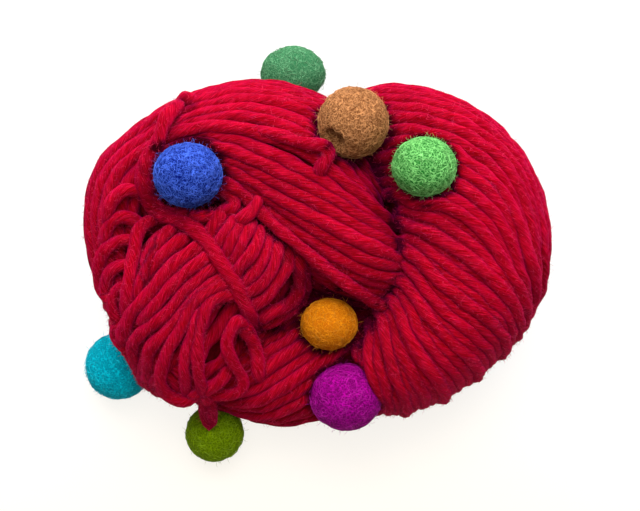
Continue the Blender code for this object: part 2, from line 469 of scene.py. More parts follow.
def close_caps(caps, tube, ring):
    """Move a tube's two end caps onto its first and last rings again."""
    before, after = tube
    ends = np.concatenate([before[:ring], before[-ring:]])
    goals = np.concatenate([after[:ring], after[-ring:]])
    nearest = np.linalg.norm(caps[:, None, :] - ends[None, :, :], axis=2).argmin(axis=1)
    return goals[nearest]


def bevelled_tubes(name, paths, sizes, radius, resolution):
    """Capped round tubes along the paths as one mesh, with the caps first and then the tubes."""
    curve = bpy.data.curves.new(name, "CURVE")
    curve.dimensions = "3D"
    curve.bevel_depth = radius
    curve.bevel_resolution = resolution
    curve.use_fill_caps = True
    for path, size in zip(paths, sizes):
        spline = curve.splines.new("POLY")
        spline.points.add(len(path) - 1)
        points = np.ones((len(path), 4))
        points[:, 0:3] = path
        spline.points.foreach_set("co", points.ravel())
        spline.points.foreach_set("radius", size)
    holder = place_object(name, curve)
    depsgraph = bpy.context.evaluated_depsgraph_get()
    mesh = bpy.data.meshes.new_from_object(holder.evaluated_get(depsgraph))
    bpy.data.objects.remove(holder)
    bpy.data.curves.remove(curve)
    return mesh


def strand_size(rng, path):
    """A strand's thickness at each point of its path, as a share of its usual one."""
    phase = rng.uniform(0.0, math.tau)
    walked = np.linspace(0.0, walked_along(path)[-1], len(path))
    size = rng.uniform(0.93, 1.06) + 0.05 * np.sin(walked / 0.011 + phase)
    return size + 0.03 * np.sin(walked / 0.0047 + 2.0 * phase)


def read_rows(data, name, width):
    """A mesh's values as an array with so many numbers in a row."""
    values = np.empty(len(data) * width)
    data.foreach_get(name, values)
    return values.reshape(-1, width)


def spin_strands(name, paths, radius, seed, flat=1.0):
    """Spun strands along the paths: bevelled tubes made uneven, as one closed mesh.

    Its map holds the length along the strand in metres and the turn round it, and the
    attribute strand_tone holds a number for each strand.
    """
    rng = random.Random(seed)
    sizes = [strand_size(rng, path) for path in paths]
    mesh = bevelled_tubes(name, paths, sizes, radius, STRAND_SIDES)
    uv = read_rows(mesh.uv_layers[0].data, "uv", 2)
    spots = read_rows(mesh.vertices, "co", 3)
    tones = np.empty(len(spots))
    ring = STRAND_SIDES * 2 + 4
    first_vert = 2 * ring * len(paths)
    first_loop = 3 * 2 * (ring - 2) * len(paths)
    for index, path in enumerate(paths):
        tone = rng.random()
        ends = slice(2 * ring * index, 2 * ring * (index + 1))
        tube = slice(first_vert, first_vert + len(path) * ring)
        tones[ends] = tone
        tones[tube] = tone
        shaped = uneven_ring(spots[tube], path, ring, rng, flat)
        spots[ends] = close_caps(spots[ends], (spots[tube], shaped), ring)
        spots[tube] = shaped
        first_vert += len(path) * ring
        loops = (len(path) - 1) * ring * 4
        uv[first_loop:first_loop + loops, 0] *= walked_along(path)[-1]
        uv[first_loop:first_loop + loops, 0] += tone
        first_loop += loops
    mesh.vertices.foreach_set("co", spots.ravel())
    mesh.uv_layers[0].data.foreach_set("uv", uv.ravel())
    mesh.uv_layers[0].name = "strand_map"
    mesh.attributes.new("strand_tone", "FLOAT", "POINT").data.foreach_set("value", tones)
    shape = bmesh.new()
    shape.from_mesh(mesh)
    bpy.data.meshes.remove(mesh)
    bmesh.ops.remove_doubles(shape, verts=shape.verts, dist=radius * 0.01)
    bmesh.ops.recalc_face_normals(shape, faces=shape.faces)
    return add_mesh_object(name, shape, RED_WOOL)


def bump_node(tree, height, distance, strength=1.0):
    made = add_node(tree, "ShaderNodeBump", Strength=strength, Distance=distance)
    tree.links.new(height, made.inputs["Height"])
    return made.outputs["Normal"]


def spun_wool(name, light, middle, deep, sheen):
    """Spun wool: fine fibres wind round the strand, pale ones over deep ones, with a soft sheen and
    painted shade.
    """
    material, tree, shader = new_material(
        name, Roughness=0.85, Subsurface_Weight=0.85, Subsurface_Radius=(1.0, 0.10, 0.12),
        Subsurface_Scale=0.0034, Specular_IOR_Level=0.02, Sheen_Weight=0.17,
        Sheen_Roughness=0.45, Sheen_Tint=(*sheen, 1.0),
    )
    link = tree.links.new
    where = add_node(tree, "ShaderNodeUVMap", uv_map="strand_map")
    split = add_node(tree, "ShaderNodeSeparateXYZ")
    link(where.outputs["UV"], split.inputs["Vector"])
    along = split.outputs["X"]
    turn = value_node(tree, "MULTIPLY", split.outputs["Y"], math.tau)
    angle = value_node(tree, "MULTIPLY_ADD", along, math.tau / TWIST_PITCH, turn)
    cosine = value_node(tree, "COSINE", angle)
    sine = value_node(tree, "SINE", angle)

    def fibre_noise(length, fineness, detail):
        """Streaks that wind round the strand, so long and so many round it."""
        place = add_node(tree, "ShaderNodeCombineXYZ")
        link(value_node(tree, "DIVIDE", along, length), place.inputs["X"])
        link(value_node(tree, "MULTIPLY", cosine, fineness), place.inputs["Y"])
        link(value_node(tree, "MULTIPLY", sine, fineness), place.inputs["Z"])
        return noise_node(tree, place.outputs[0], 1.0, detail, 0.6)

    fibres = fibre_noise(0.0032, 8.0, 2.0)
    hairs = fibre_noise(0.0020, 15.0, 1.0)
    patches = fibre_noise(0.0075, 1.8, 1.0)
    cloud = noise_node(tree, object_place(tree), 70.0)
    tone = add_node(tree, "ShaderNodeAttribute", attribute_name="strand_tone").outputs["Fac"]
    mix = value_node(tree, "MULTIPLY", hairs, 0.30)
    for layer, share in ((fibres, 0.42), (patches, 0.34), (cloud, 0.14), (tone, 0.08)):
        mix = value_node(tree, "MULTIPLY_ADD", layer, share, mix)
    black = tuple(value * 0.25 for value in deep)
    stops = ((0.25, black), (0.49, deep), (0.70, middle), (0.91, light))
    wool = colour_ramp(tree, mix, stops)
    pale = value_node(tree, "SUBTRACT", fibre_noise(0.0036, 24.0, 0.0), 0.54)
    pale = value_node(tree, "MAXIMUM", value_node(tree, "MULTIPLY", pale, 4.0), 0.0)
    lifted = add_node(tree, "ShaderNodeMix", data_type="RGBA")
    link(value_node(tree, "MINIMUM", pale, 0.55), lifted.inputs["Factor"])
    link(wool, lifted.inputs["A"])
    lifted.inputs["B"].default_value = (0.80, 0.010, 0.07, 1.0)
    # Painted shade: the colour is darkened by the share of sky that other yarn and the balls hide.
    hollow = add_node(tree, "ShaderNodeAttribute", attribute_name="hollow_shade")
    kept = value_node(tree, "MULTIPLY_ADD", hollow.outputs["Fac"], -PAINTED_SHADE_DEPTH, 1.0)
    shaded = add_node(tree, "ShaderNodeVectorMath", operation="SCALE")
    link(lifted.outputs["Result"], shaded.inputs[0])
    link(kept, shaded.inputs["Scale"])
    link(shaded.outputs[0], shader.inputs["Base Color"])
    height = value_node(tree, "MULTIPLY_ADD", hairs, 0.8, fibres)
    link(bump_node(tree, height, 0.0004), shader.inputs["Normal"])
    return material


def spread_guides(guides):
    """Routes of all strands of a bundle, blended from its guides: places and turns."""
    table = [[value for pair in guide.points for value in pair] for guide in guides]
    marks = []
    for index, guide in enumerate(guides[:-1]):
        marks += [index + step / guide.strands for step in range(guide.strands)]
    controls = eased(smooth_rows(table, np.array(marks) / (len(guides) - 1)), 8)
    return controls.reshape(len(marks), -1, 2)


def crowding_of(points):
    """How much closer than side by side each strand's points lie to its neighbours'."""
    count, steps = points.shape[0:2]
    gaps = np.full((count + 1, steps), STRAND)
    for strand in range(count - 1):
        nearest = np.full(steps, 1.0)
        for offset in range(-NEIGHBOUR_STEPS, NEIGHBOUR_STEPS + 1):
            low = max(0, -offset)
            high = steps - max(0, offset)
            apart = points[strand + 1, low + offset:high + offset] - points[strand, low:high]
            nearest[low:high] = np.minimum(nearest[low:high], np.linalg.norm(apart, axis=1))
        gaps[strand + 1] = nearest
    pitch = (gaps[1:] + gaps[:-1]) * 0.5
    return np.clip(1.0 - pitch / STRAND, 0.0, MOST_CROWDED)


def near_end(distance, reach):
    """1 at a strand's end, easing to 0 at the given distance from it."""
    return np.clip(1.0 - distance / reach, 0.0, 1.0) ** 2


def guided_strands(rows, guides, depth, seed):
    """Paths of a bundle's strands. Where they crowd, some are pressed below the others."""
    rng = random.Random(seed)
    along = np.linspace(0.0, 1.0, GUIDE_STEPS)
    routes = [smooth_rows(control, along) for control in spread_guides(guides)]
    level_skin = np.zeros(GUIDE_STEPS)
    tuck = near_end(along, END_TUCK) + near_end(1.0 - along, END_TUCK)
    flat = np.array([on_skin(rows, route[:, 0], route[:, 1], level_skin) for route in routes])
    crowding = crowding_of(flat)
    crowding[:, 1:-1] = (crowding[:, :-2] + crowding[:, 1:-1] + crowding[:, 2:]) / 3.0
    paths = []
    for strand, route in enumerate(routes):
        level = PRESSED_LEVELS[strand % 4]
        lifts = -STRAND / MM * (0.5 + crowding[strand] * level * 0.55) - depth
        lifts = lifts + wander(rng, GUIDE_STEPS, 0.4, 5) - END_DIP * tuck
        turns = route[:, 1] + wander(rng, GUIDE_STEPS, 0.0035, 5)
        paths.append(on_skin(rows, np.clip(route[:, 0], 0.0, 1.0), turns, lifts))
    return paths


def lay_bundle(rows, guides, depth, seed):
    """Paths of a bundle's strands, settled against balls and table, where they show."""
    laid = []
    for path in guided_strands(rows, guides, depth, seed):
        for run in showing_runs(settle(even_steps(path, PATH_STEP), STRAND * 0.5)):
            laid.append(even_steps(run, PATH_STEP))
    return laid


RED_WOOL = spun_wool(
    "red_wool", (0.44, 0.0, 0.030), (0.26, 0.0, 0.004), (0.16, 0.0, 0.001), (1.0, 0.0, 0.30)
)


def seat_on_hank(piece, node="hank"):
    """The piece moves with the hank and stands for its solid."""
    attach(piece, "root")
    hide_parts(node)


# Each guide is a strand that shows: how many strands lie from it to the next guide, and its
# course as pairs of place along the bundle and turn round it, from 0 at its outer side over
# a quarter at its top. A row below has that number of strands and its turn at each place.
Guide = namedtuple("Guide", "strands points")
MIDDLE_PLACES = (0.0, 0.22, 0.44, 0.60, 0.75, 0.90, 1.0)
MIDDLE_TURNS = (
    (6, (-0.14, -0.14, -0.12, -0.11, -0.11, -0.11, -0.10)),
    (7, (0.00, 0.00, 0.00, 0.01, 0.01, 0.00, 0.00)),
    (2, (0.13, 0.16, 0.175, 0.163, 0.150, 0.135, 0.12)),
    (1, (0.19, 0.20, 0.205, 0.20, 0.18, 0.155, 0.14)),
    (1, (0.21, 0.22, 0.228, 0.25, 0.215, 0.170, 0.15)),
    (1, (0.23, 0.24, 0.240, 0.278, 0.238, 0.182, 0.16)),
    (1, (0.25, 0.26, 0.255, 0.297, 0.250, 0.194, 0.17)),
    (1, (0.27, 0.275, 0.272, 0.312, 0.270, 0.212, 0.185)),
    (1, (0.285, 0.29, 0.292, 0.328, 0.292, 0.240, 0.21)),
    (1, (0.30, 0.305, 0.310, 0.344, 0.314, 0.272, 0.24)),
    (1, (0.32, 0.325, 0.330, 0.366, 0.338, 0.306, 0.27)),
    (2, (0.345, 0.35, 0.360, 0.395, 0.365, 0.340, 0.31)),
    (2, (0.38, 0.385, 0.400, 0.420, 0.400, 0.395, 0.37)),
    (4, (0.42, 0.42, 0.430, 0.450, 0.435, 0.445, 0.43)),
    (7, (0.52, 0.52, 0.530, 0.540, 0.530, 0.540, 0.53)),
    (6, (0.70, 0.70, 0.700, 0.700, 0.705, 0.710, 0.71)),
    (0, (0.86, 0.86, 0.870, 0.880, 0.885, 0.890, 0.90)),
)


def guide_at(places, strands, turns):
    return Guide(strands, tuple(zip(places, turns)))


MIDDLE_GUIDES = [guide_at(MIDDLE_PLACES, *row) for row in MIDDLE_TURNS]
middle_paths = lay_bundle(MIDDLE_BUNDLE, MIDDLE_GUIDES, 0.0, 11)
middle_yarn = spin_strands("middle_bundle_yarn", middle_paths, STRAND * 0.53, 21)
seat_on_hank(middle_yarn)


# The fanned bundle is the right end of the hank. Its strands come up from the crease beside
# the middle bundle and spread like the ribs of a shell, over the outer edge and back under.
# They are the same spun wool; where they crowd at the crease some are pressed below the rest.
FANNED_BUNDLE = (
    Section(6, 38, 6, 58, 54),
    Section(13, 30, 23, 63, 62),
    Section(17, 22, 41, 61, 67),
    Section(19, 14, 60, 52.5, 70),
    Section(20, 8, 75, 36.5, 72),
    Section(20, 3, 83, 18, 72),
    Section(20, -2, 85, 0, 71),
    Section(20, -8, 81, -17, 69),
    Section(20, -14, 72, -33, 66),
    Section(19, -19, 60, -45, 62),
    Section(17, -23, 46, -54, 57),
    Section(15, -27, 30, -59.5, 51),
    Section(13, -29, 19, -57, 45),
    Section(11, -30, 12, -51, 38),
)
FAN_GUIDES = (
    Guide(5, ((0.00, -0.22), (0.12, -0.23), (0.30, -0.25), (0.45, -0.27), (0.55, -0.31))),
    Guide(5, ((0.00, -0.10), (0.12, -0.11), (0.30, -0.13), (0.46, -0.15), (0.57, -0.23))),
    Guide(5, ((0.00, 0.03), (0.12, 0.02), (0.30, -0.01), (0.47, -0.04), (0.58, -0.16))),
    Guide(3, ((0.00, 0.19), (0.12, 0.165), (0.30, 0.095), (0.46, 0.06), (0.575, -0.09))),
    Guide(3, ((0.02, 0.29), (0.12, 0.24), (0.32, 0.16), (0.48, 0.11), (0.58, -0.06))),
    Guide(3, ((0.08, 0.38), (0.18, 0.31), (0.37, 0.20), (0.51, 0.13), (0.59, -0.05))),
    Guide(3, ((0.18, 0.45), (0.26, 0.36), (0.42, 0.25), (0.55, 0.14), (0.60, -0.06))),
    Guide(3, ((0.28, 0.48), (0.34, 0.38), (0.47, 0.26), (0.57, 0.12), (0.61, -0.10))),
    Guide(4, ((0.36, 0.49), (0.41, 0.38), (0.53, 0.26), (0.60, 0.08), (0.625, -0.14))),
    Guide(4, ((0.44, 0.50), (0.51, 0.38), (0.625, 0.26), (0.655, 0.07), (0.665, -0.17))),
    Guide(4, ((0.53, 0.50), (0.60, 0.38), (0.71, 0.26), (0.73, 0.07), (0.735, -0.18))),
    Guide(4, ((0.62, 0.50), (0.69, 0.38), (0.78, 0.26), (0.795, 0.07), (0.80, -0.18))),
    Guide(3, ((0.69, 0.50), (0.77, 0.38), (0.845, 0.27), (0.86, 0.08), (0.865, -0.18))),
    Guide(3, ((0.78, 0.50), (0.84, 0.38), (0.90, 0.27), (0.925, 0.08), (0.93, -0.18))),
    Guide(0, ((0.92, 0.50), (0.95, 0.38), (0.97, 0.27), (0.98, 0.08), (0.99, -0.18))),
)
fan_paths = lay_bundle(FANNED_BUNDLE, FAN_GUIDES, 0.0, 12)
fan_yarn = spin_strands("fanned_bundle_yarn", fan_paths, STRAND * 0.53, 22)
seat_on_hank(fan_yarn)


# The front bundle lies low between the fan and the end loops. Its strands leave the crease
# under the mustard ball and spread to the front edge, where they are mostly in shade.
FRONT_BUNDLE = (
    Section(25, -22, 27, -36, 30),
    Section(14, -14, 19, -43, 34),
    Section(2, -10, 9, -55, 38),
    Section(-11, -10, -4, -61, 43),
    Section(-25, -14, -20, -62, 45),
    Section(-38, -18, -35, -57, 42),
    Section(-50, -22, -48, -50, 36),
)
FRONT_PLACES = (0.0, 0.2, 0.5, 0.75, 1.0)
FRONT_TURNS = (
    (6, (0.04, 0.00, -0.10, -0.19, -0.27)),
    (6, (0.20, 0.17, 0.08, -0.01, -0.09)),
    (5, (0.29, 0.25, 0.185, 0.10, 0.03)),
    (6, (0.38, 0.35, 0.27, 0.20, 0.14)),
    (6, (0.52, 0.49, 0.42, 0.36, 0.30)),
    (0, (0.70, 0.66, 0.60, 0.55, 0.50)),
)
FRONT_GUIDES = [guide_at(FRONT_PLACES, *row) for row in FRONT_TURNS]
front_paths = lay_bundle(FRONT_BUNDLE, FRONT_GUIDES, 0.0, 13)
front_yarn = spin_strands("front_bundle_yarn", front_paths, STRAND * 0.56, 23)
seat_on_hank(front_yarn)


# The end loops are where the wound yarn turns back on itself at the front left. Short runs
# come from under the middle bundle, pass beneath the tie and hang down in loose loops, laid
# one by one over an under-layer that fills the bundle out.
END_LOOPS = (
    Section(-14, 4, -29, 18, 58),
    Section(-10, -1, -36, 20, 63),
    Section(-6, -12, -46, 18, 65),
    Section(-11, -23, -58, 16, 65),
    Section(-21, -35, -72, 10, 63),
    Section(-27, -48, -80, -2, 59),
    Section(-40, -54, -80, -16, 53),
    Section(-53, -54, -75, -29, 45),
    Section(-60, -50, -70, -38, 36),
    Section(-64, -47, -67, -44, 26),
)
Route = namedtuple("Route", "start_dip end_dip rise points")
LOOP_ROUTES = (
    Route(5, 5, 1.2, ((-33, 13), (-36, 8), (-39, 2), (-43, -2), (-50, -7), (-56, -13),
                      (-62, -20), (-67, -24), (-70, -30), (-71, -33))),
    Route(5, 3, 1.4, ((-30, 9), (-32, 4), (-36, -1), (-40, -6), (-47, -11), (-53, -17),
                      (-58, -22), (-63, -27))),
    Route(5, 5, 0.9, ((-27, 9), (-29, 4), (-32, -3), (-36, -8), (-40, -11), (-47, -17),
                      (-52, -23), (-58, -28), (-63, -31), (-67, -35), (-67, -39))),
    Route(5, 5, 0.8, ((-24, 7), (-26, 2), (-29, -4), (-32, -8), (-35, -13), (-40, -16),
                      (-46, -22), (-51, -28), (-55, -32), (-59, -35), (-61, -38), (-62, -43))),
    Route(5, 4, 1.4, ((-21, 5), (-22, -1), (-25, -6), (-28, -9), (-31, -13), (-38, -17),
                      (-43, -20), (-47, -26), (-50, -32), (-54, -38), (-56, -43), (-57, -48),
                      (-55, -52), (-51, -54), (-47, -54), (-45, -52), (-44, -50))),
    Route(5, 5, 0.7, ((-18, 2), (-19, -4), (-21, -8), (-24, -12), (-28, -15), (-34, -18),
                      (-39, -22), (-43, -27), (-45, -33), (-47, -38), (-48, -43), (-48, -48),
                      (-48, -52))),
    Route(5, 0, 1.8, ((-15, 1), (-15, -5), (-17, -10), (-20, -14), (-24, -17), (-31, -18),
                      (-37, -20), (-40, -24), (-42, -29), (-43, -34), (-43, -40), (-43, -45),
                      (-42, -50), (-41, -54))),
    Route(5, 4, 0.9, ((-12, -1), (-11, -7), (-13, -11), (-16, -15), (-19, -19), (-24, -22),
                      (-27, -24))),
    Route(5, 4, 0.9, ((-8, -4), (-7, -8), (-7, -12), (-8, -16), (-11, -20), (-16, -23),
                      (-21, -25))),
    Route(5, 4, -0.2, ((-6.5, -6), (-5.5, -10), (-5.5, -14), (-8, -18.5), (-12, -23), (-17, -26),
                       (-22, -27))),
    Route(6, 5, 2.2, ((-26, -31), (-28, -27), (-30, -28), (-32, -32), (-33, -36), (-31, -41),
                      (-29, -44), (-27, -48), (-29, -51), (-33, -52), (-37, -52), (-40, -51))),
    Route(6, 5, 1.8, ((-28, -28), (-26, -30), (-24, -33), (-23, -37), (-22, -42), (-22, -45))),
    Route(4, 5, 2.2, ((-54, 10), (-58, 10), (-61, 9), (-64, 6), (-65, 1), (-66, -4), (-67, -11),
                      (-68, -17), (-69, -23))),
    Route(5, 4, 1.2, ((-58, 15), (-61, 18), (-65, 19), (-69, 19), (-73, 16), (-75, 12),
                      (-76, 8))),
    Route(5, 4, 1.0, ((-62, 7), (-66, 9), (-70, 10), (-74, 8), (-76, 5), (-77, 1))),
    Route(4, 6, 1.4, ((-65, 1), (-69, 2), (-73, 1), (-77, -2), (-79, -6), (-79.5, -10),
                      (-78.5, -14), (-76, -18), (-72, -21))),
    Route(4, 4, 1.2, ((-66, -7), (-71, -7), (-75, -9), (-77, -13), (-77, -17), (-74, -22))),
    Route(4, 4, 1.2, ((-67, -15), (-71, -15), (-74, -19), (-74, -23), (-72, -27))),
    Route(4, 4, 0.6, ((-56, 2), (-59, -2), (-61, -6), (-60, -10))),
    Route(5, 4, 0.9, ((-51, 6), (-54, 4), (-57, 0), (-59, -4), (-61, -9), (-63, -14))),
    Route(5, 4, 0.4, ((-47, 3), (-50, 0), (-55, -4), (-59, -8), (-63, -13), (-66, -19))),
    Route(4, 4, 1.0, ((-71, -27), (-74, -29), (-73, -33), (-70, -35))),
    Route(4, 4, 0.6, ((-33, -44), (-36, -48), (-40, -50), (-44, -52), (-48, -52))),
)
ROUTE_STEPS = 70
ROUTE_STEP = 2.0 * MM
ROUTE_TUCK = 0.13
ROUND_ABOUT = (-2.0 * MM, 0.0, 2.0 * MM)

# The tie's course over the hank, which presses down the loops near it.
TIE_RADIUS = 2.75 * MM
TIE_POINTS = 90
TIE_PRESS = 2.6
TIE_PRESS_REACH = 5.5 * MM
TiePoint = namedtuple("TiePoint", "x y dip")
TIE_ROUTE = (
    TiePoint(-46.5, 53, 9),
    TiePoint(-48.5, 52, 3),
    TiePoint(-51.5, 48.5, 0),
    TiePoint(-54.5, 42.5, -1),
    TiePoint(-57.0, 35.0, -1),
    TiePoint(-61.5, 28, 0),
    TiePoint(-62.5, 21, 0),
    TiePoint(-60.0, 14.0, 0),
    TiePoint(-53.0, 9.5, 0),
    TiePoint(-45.5, 6.0, 0),
    TiePoint(-39, -1, 0),
    TiePoint(-33.5, -9, 0),
    TiePoint(-28.5, -17, 0),
    TiePoint(-25, -24, 1),
    TiePoint(-23, -30, 8),
)
TIE_ROWS = curve_through(TIE_ROUTE, TIE_POINTS)
TIE_PLAN = TIE_ROWS[:, 0:2] * MM + PLAN_SHIFT


def top_of_hank(x, y):
    """Height of the hank's upper side at a place in plan, or None past its edge."""
    hit = HANK_SKIN.ray_cast(Vector((x, y, 0.2)), Vector((0.0, 0.0, -1.0)))[0]
    return hit.z if hit else None


def beneath_tie(plan):
    """How far a strand is pressed down by the tie at each place, in millimetres."""
    apart = np.linalg.norm(plan[:, None, :] - TIE_PLAN[None, :, :], axis=2).min(axis=1)
    return TIE_PRESS * np.clip(1.0 - apart / TIE_PRESS_REACH, 0.0, 1.0) ** 0.7


def lay_route(route, under_tie=False):
    """A strand laid over the hank along a route in plan, its two ends tucked in."""
    plan = curve_through(route.points, ROUTE_STEPS) * MM + PLAN_SHIFT
    heights = []
    for x, y in plan:
        around = [top_of_hank(x + dx, y + dy) for dx in ROUND_ABOUT for dy in ROUND_ABOUT]
        around = sorted(height for height in around if height is not None)
        heights.append(around[len(around) // 2] if around else heights[-1] - 1.0 * MM)
    place = np.linspace(0.0, 1.0, ROUTE_STEPS)
    dip = route.start_dip * near_end(place, ROUTE_TUCK)
    dip += route.end_dip * near_end(1.0 - place, ROUTE_TUCK)
    if under_tie:
        dip += beneath_tie(plan)
    heights = eased(np.array(heights), 6) + (route.rise - dip) * MM
    return np.column_stack([plan, heights])


def level_guide(strands, turn):
    """A guide that keeps one turn all along the end loops."""
    return Guide(strands, [(place, turn) for place in (0.0, 0.25, 0.5, 0.75, 1.0)])


LOOP_GUIDES = (level_guide(16, -0.15), level_guide(16, 0.35), level_guide(0, 0.85))
LOOP_EDGE_GUIDES = (
    Guide(10, ((0.50, 0.20), (0.53, 0.12), (0.55, 0.03), (0.56, -0.10))),
    Guide(0, ((0.98, 0.20), (0.985, 0.12), (0.99, 0.03), (0.99, -0.10))),
)
LOOP_FRONT_GUIDES = (
    Guide(7, ((0.66, 0.33), (0.67, 0.40), (0.68, 0.48), (0.69, 0.60))),
    Guide(0, ((0.98, 0.33), (0.985, 0.40), (0.99, 0.48), (0.99, 0.60))),
)
UNDER_LAYER = 2.6
OUTER_LAYER = 0.2
loop_paths = lay_bundle(END_LOOPS, LOOP_GUIDES, UNDER_LAYER, 14)
loop_paths += lay_bundle(END_LOOPS, LOOP_EDGE_GUIDES, OUTER_LAYER, 15)
loop_paths += lay_bundle(END_LOOPS, LOOP_FRONT_GUIDES, OUTER_LAYER, 16)
for route in LOOP_ROUTES:
    loop_paths.append(settle(even_steps(lay_route(route, True), ROUTE_STEP), STRAND * 0.5))
loop_yarn = spin_strands("end_loops_yarn", loop_paths, STRAND * 0.5, 24)
seat_on_hank(loop_yarn)


# The hank's inside shows only as dark gaps between its strands. It is more of the same yarn,
# pressed together, made here as one plain body under the outer strands, coloured far darker as
# painted shade.
CORE_DEPTH = 5.2
LOOP_CORE_DEPTH = 7.2
CORE_RINGS = 40
CORE_EVERY = 6
CORE_BASE = 1.0 * MM


def bundle_core(shape, rows, depth):
    """Add one bundle's inner body to a bmesh, as rings bridged and closed at both ends."""
    places = np.linspace(0.0, 1.0, CORE_RINGS)
    rings = []
    for points in skin_rings(rows, places, np.full(CORE_RINGS, -depth))[:, :-1:CORE_EVERY]:
        verts = [shape.verts.new(point) for point in points]
        edges = [shape.edges.new(pair) for pair in zip(verts, verts[1:] + verts[:1])]
        rings.append((verts, edges))
    for first, second in zip(rings, rings[1:]):
        bmesh.ops.bridge_loops(shape, edges=first[1] + second[1])
    shape.faces.new(rings[0][0])
    shape.faces.new(rings[-1][0])


def painted_shade_core_wool():
    """The hank's inside in painted shade: dark red with the faint lines of strands."""
    material, tree, shader = new_material("painted_shade_core_wool", Roughness=0.95, Specular_IOR_Level=0.05)
    lines = noise_node(tree, object_place(tree), 260.0, 3.0, 0.6)
    # painted shade: far darker than the strands' own wool
    stops = ((0.35, (0.05, 0.0, 0.002)), (0.7, (0.16, 0.0, 0.006)))
    tree.links.new(colour_ramp(tree, lines, stops), shader.inputs["Base Color"])
    tree.links.new(bump_node(tree, lines, 0.001), shader.inputs["Normal"])
    return material


core_shape = bmesh.new()
for bundle in (MIDDLE_BUNDLE, FANNED_BUNDLE, FRONT_BUNDLE):
    bundle_core(core_shape, bundle, CORE_DEPTH)
bundle_core(core_shape, END_LOOPS, LOOP_CORE_DEPTH)
for vert in core_shape.verts:
    vert.co.z = max(vert.co.z, CORE_BASE)
bmesh.ops.recalc_face_normals(core_shape, faces=core_shape.faces)
hank_core = add_mesh_object("hank_core", core_shape, painted_shade_core_wool())
seat_on_hank(hank_core)


# The tie is one strand of the same wool. It comes over the back edge, runs down beside the
# blue ball and across the end loops, which it draws in, and its end is tucked between them.
TIE_LIFT = 2.9
TIE_STEP = 1.6 * MM
THIN_STRAND = 2.3 * MM


def lay_tie():
    heights = np.array([top_of_hank(x, y) or 0.0 for x, y in TIE_PLAN])
    heights = eased(heights, 8) + (TIE_LIFT - TIE_ROWS[:, 2]) * MM
    return np.column_stack([TIE_PLAN, heights])


tie_path = settle(even_steps(lay_tie(), TIE_STEP), THIN_STRAND)
tie_yarn = spin_strands("tie_strand_yarn", [tie_path], TIE_RADIUS, 25, flat=0.8)
seat_on_hank(tie_yarn, "tie_strand")


# Beside the balls the strand that they are strung on comes up between the others, and passes
# under them in short bends and half knots.
KNOT_ROUTES = (
    Route(5, 4, 1.6, ((-40, 17), (-37, 19), (-33, 18), (-30, 15), (-30, 12), (-34, 11))),
    Route(5, 7, 0.4, ((-36, 23), (-31, 20), (-27, 17), (-23, 13), (-20, 10), (-16, 6),
                      (-10, 1), (-4, -4), (1, -8), (6, -12), (12, -15.5), (18, -18.5), (24, -21))),
    Route(4, 5, 1.4, ((-22, 15), (-23, 12), (-26, 9), (-29, 7))),
    Route(3, 4, 3.5, ((-60, 17), (-57, 13.5), (-52.5, 11.5), (-48, 10.8), (-44, 9.6), (-41, 8.6),
                      (-38.5, 9.5))),
)
KNOT_STEP = 1.8 * MM
BEND_STEP = 1.5 * MM
BEND_POINTS = 30
OLIVE_TIP = (
    (-42.6, -48, 40), (-42.4, -53, 36.5), (-42.2, -57, 31), (-41.8, -60, 26.5),
    (-40.9, -62.3, 24.6), (-40.1, -60, 26.5), (-39.8, -57, 31), (-39.6, -53, 36.5),
    (-39.4, -48, 40),
)
BROWN_BEND = (
    (-21, 38.5, 69.5), (-15, 36.6, 72.8), (-9, 34.2, 74.4), (-4, 32.6, 75.6), (0.6, 32.0, 76.6),
    (2.8, 30.6, 76.4), (2.6, 27.9, 75.4), (0.8, 25.4, 74.2), (-0.8, 23.0, 70.0),
)
knot_paths = []
for route in KNOT_ROUTES:
    knot_paths.append(settle(even_steps(lay_route(route), KNOT_STEP), THIN_STRAND))
for bend in (OLIVE_TIP, BROWN_BEND):
    course = curve_through(bend, BEND_POINTS) * MM + np.array(SHIFT)
    knot_paths.append(even_steps(course, BEND_STEP))
knot_yarn = spin_strands("knots_by_the_balls", knot_paths, THIN_STRAND, 26)
seat_on_hank(knot_yarn)


# Eight felt balls are strung on the hank. Each is wool wet-felted round a core, so that its
# skin is a mat of fine curled fibres, pale over darker wool, with stray hairs standing off.

# The balls aren't quite round: wide and deep say how much each is pressed out of round.
Felt = namedtuple("Felt", "node fibre body curls hairs wide deep")
FELTS = (
    Felt("felt_ball_blue", (0.06, 0.15, 0.74), (0.001, 0.006, 0.12), 420, 240, 0.97, 0.91),
    Felt("felt_ball_brown", (0.60, 0.27, 0.10), (0.11, 0.035, 0.010), 420, 280, 0.95, 0.96),
    Felt("felt_ball_green", (0.25, 0.70, 0.20), (0.006, 0.12, 0.012), 400, 280, 0.98, 0.90),
    Felt("felt_ball_mustard", (0.75, 0.27, 0.006), (0.42, 0.10, 0.001), 300, 130, 1.01, 0.92),
    Felt("felt_ball_purple", (0.46, 0.002, 0.32), (0.11, 0.0, 0.07), 300, 110, 1.04, 0.96),
    Felt("felt_ball_sea_green", (0.12, 0.34, 0.16), (0.02, 0.12, 0.045), 260, 160, 1.05, 0.88),
    Felt("felt_ball_teal", (0.0, 0.58, 0.72), (0.0, 0.20, 0.28), 240, 110, 1.05, 1.03),
    Felt("felt_ball_olive", (0.22, 0.36, 0.001), (0.07, 0.12, 0.0), 240, 110, 1.05, 1.03),
)
NOTCHED = "felt_ball_brown"
NOTCH_WAY = Vector((-0.60, -0.66, 0.45)).normalized()
CURL_RADIUS = 0.10 * MM
CURL_POINTS = 8
HAIR_RADIUS = 0.04 * MM
HAIR_POINTS = 6
NOTCH_SPREAD = 0.92
NOTCH_DEPTH = 0.34
TABLE_CLEAR = 0.2 * MM
Layer = namedtuple("Layer", "scale width")
FELT_LAYERS = (Layer(520.0, 0.042), Layer(720.0, 0.050), Layer(960.0, 0.058))


